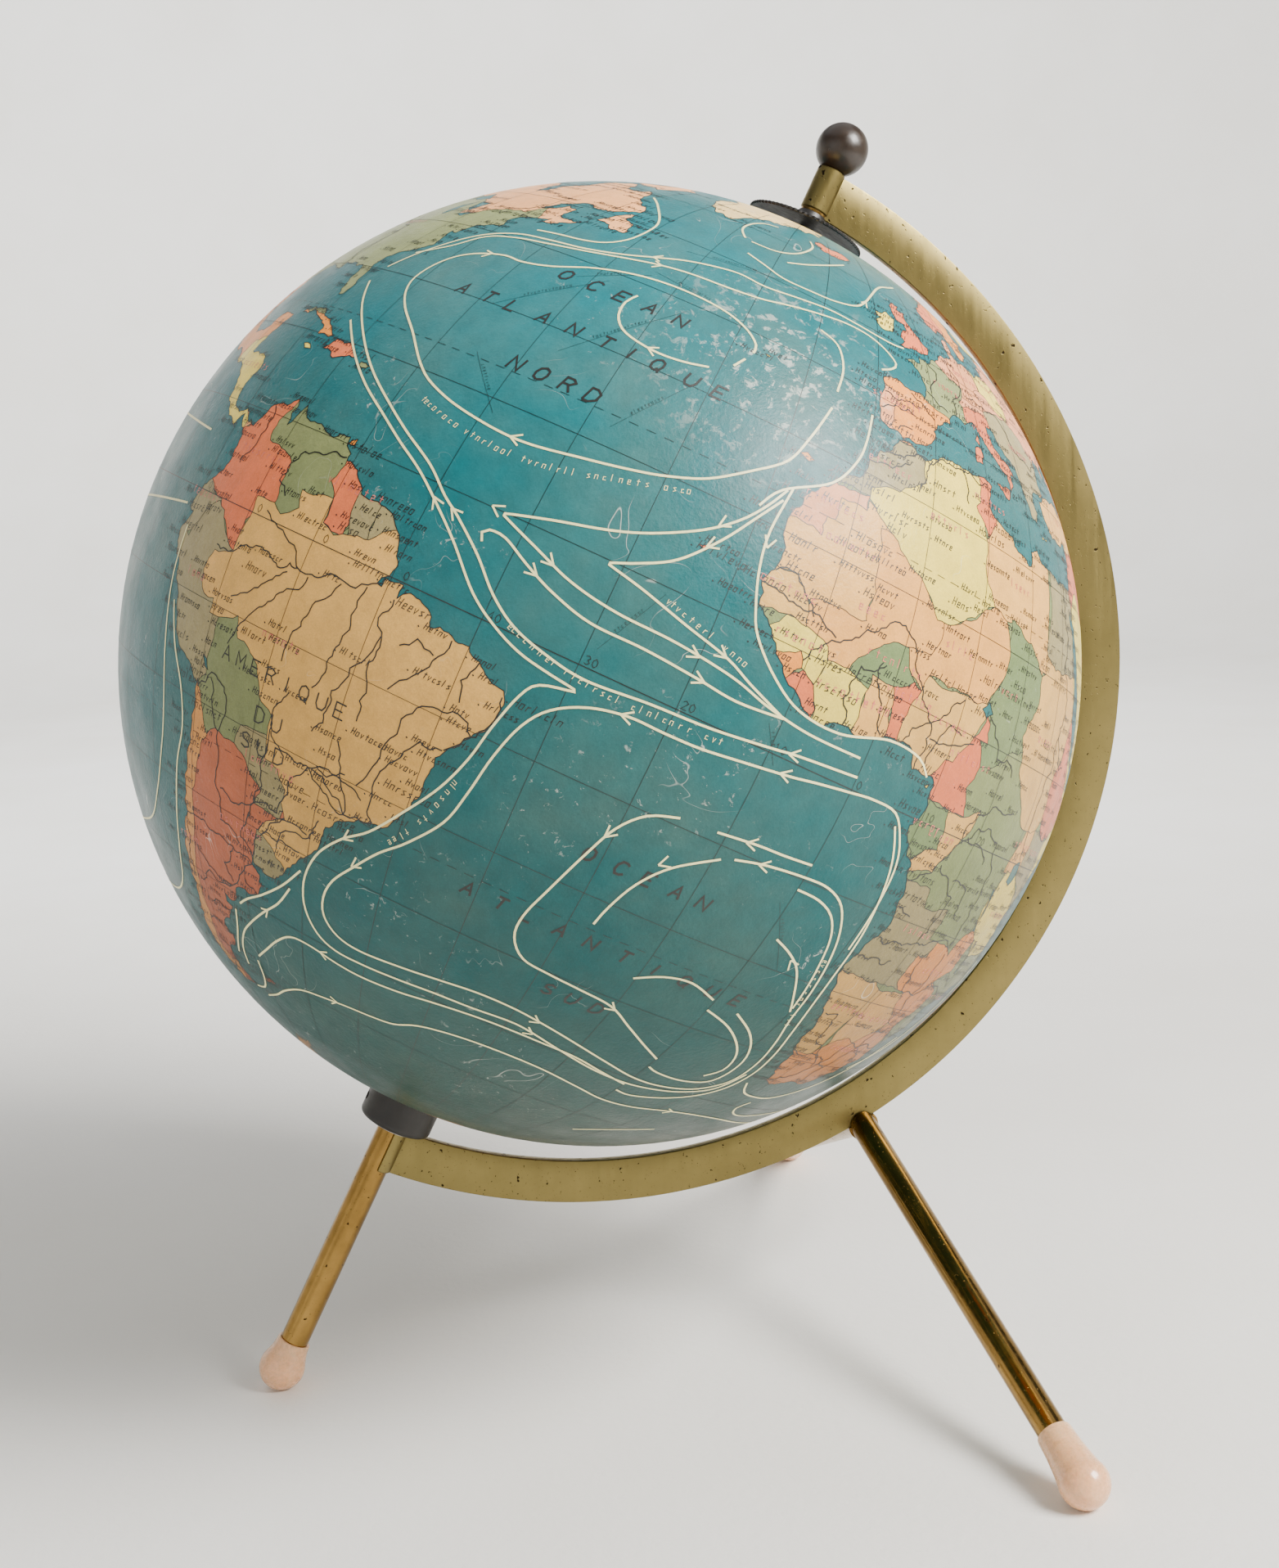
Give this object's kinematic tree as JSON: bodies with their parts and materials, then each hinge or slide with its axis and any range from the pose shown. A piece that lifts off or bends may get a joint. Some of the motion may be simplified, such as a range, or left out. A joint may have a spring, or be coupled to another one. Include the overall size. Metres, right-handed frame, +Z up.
{
  "type": "desktop globe on stand",
  "caption": "Printed desk globe turning on a tilted axle in a C-shaped brass meridian band, carried on slim splayed tube legs with bulb feet.",
  "frame": {"origin": "on the table, under the middle of the object's box", "axes": "+Z up, +X towards the bow of the meridian band (the globe's north pole leans that way), -Y towards the viewer of the Atlantic side"},
  "size_m": [0.2746, 0.25, 0.3304],
  "materials": {
    "card": "pressed card",
    "map_paper": "printed and varnished paper",
    "cap_paper": "printed and varnished paper",
    "eyelet_metal": "plated",
    "dial_plastic": "satin moulded",
    "steel": "turned",
    "knob_bakelite": "polished",
    "band_brass": "aged, lacquered",
    "leg_brass": "drawn tube",
    "collar_plastic": "satin moulded",
    "fibre": "matt",
    "foot_plastic": "milky, satin"
  },
  "bodies": {
    "stand": {"axle_rod": "steel", "collar_washer": "steel", "collar_screw": "steel", "knob_ball": "knob_bakelite", "band_front_plate": "band_brass", "band_back_plate": "band_brass", "axis_leg": "leg_brass", "front_leg": "leg_brass", "back_leg": "leg_brass", "front_leg_stud": "leg_brass", "back_leg_stud": "leg_brass", "leg_lug": "leg_brass", "dial_washer": "leg_brass", "south_collar": "collar_plastic", "thrust_washer": "fibre", "axis_foot": "foot_plastic", "front_foot": "foot_plastic", "back_foot": "foot_plastic"},
    "globe": {"north_hemisphere": "card", "south_hemisphere": "card", "joining_hoop": "card", "map_gores": "map_paper", "north_pole_cap": "cap_paper", "south_pole_cap": "cap_paper", "north_ferrule": "eyelet_metal", "south_ferrule": "eyelet_metal"},
    "dial": {"hour_dial": "dial_plastic"}
  },
  "joints": [
    {"name": "globe_spin", "type": "hinge", "parent": "stand", "child": "globe", "pos_m": [-0.01229, 0, 0.19026], "axis": [0.4695, 0, 0.8829], "continuous": true},
    {"name": "hour_dial_turn", "type": "hinge", "parent": "stand", "child": "dial", "pos_m": [0.04757, 0, 0.30284], "axis": [0.4695, 0, 0.8829], "continuous": true}
  ]
}
